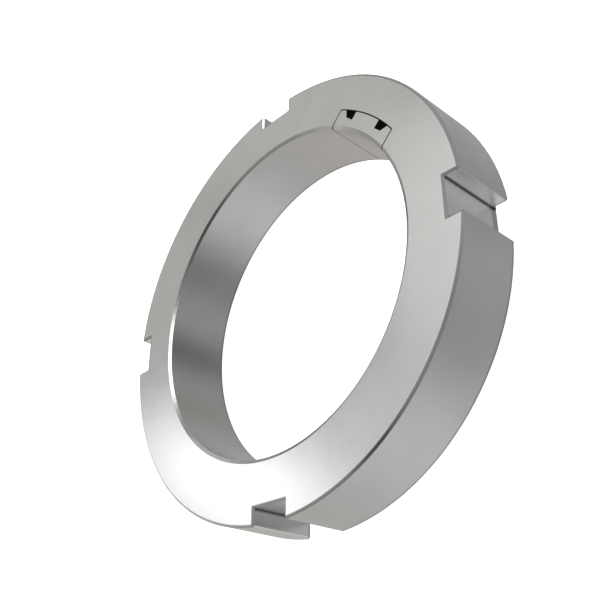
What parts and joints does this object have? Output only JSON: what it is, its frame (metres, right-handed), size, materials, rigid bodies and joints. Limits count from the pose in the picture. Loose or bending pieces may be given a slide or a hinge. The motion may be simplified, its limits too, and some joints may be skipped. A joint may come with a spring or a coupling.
{
  "type": "lock nut",
  "caption": "Slotted ring lock nut for a fine-threaded shaft, with a steel locking insert in the bore pressed inwards by a radial grub screw.",
  "frame": {"origin": "centre of the bearing face, on the bore axis, at the bottom of the nut as it lies", "axes": "+Z along the bore axis, out of the face that shows in use; spanner slots face +X, +Y, -X and -Y; the insert and its grub screw are at 45 degrees between +X and +Y"},
  "size_m": [0.0796, 0.0796, 0.013],
  "materials": {
    "nut_steel": "satin turned steel, bright, lightly oiled",
    "insert_steel": "satin steel, a little warmer than the ring",
    "black_elastomer": "matt black",
    "blackened_steel": "black oxide"
  },
  "bodies": {
    "nut": {"nut_body": "nut_steel"},
    "insert": {"locking_insert": "insert_steel", "retaining_strip_left": "black_elastomer", "retaining_strip_right": "black_elastomer"},
    "screw": {"grub_screw": "blackened_steel"}
  },
  "joints": [
    {"name": "insert_slide", "type": "slide", "parent": "nut", "child": "insert", "axis": [-0.7071, -0.7071, 0], "range_m": [0, 0.0005]},
    {"name": "screw_turn", "type": "hinge", "parent": "insert", "child": "screw", "pos_m": [0.02567, 0.02567, 0.0065], "axis": [-0.7071, -0.7071, 0], "range_deg": [0, 180]}
  ],
  "couplings": [
    {"joint": "screw_turn", "follows": "insert_slide", "rad_per_m": 6283.2}
  ]
}
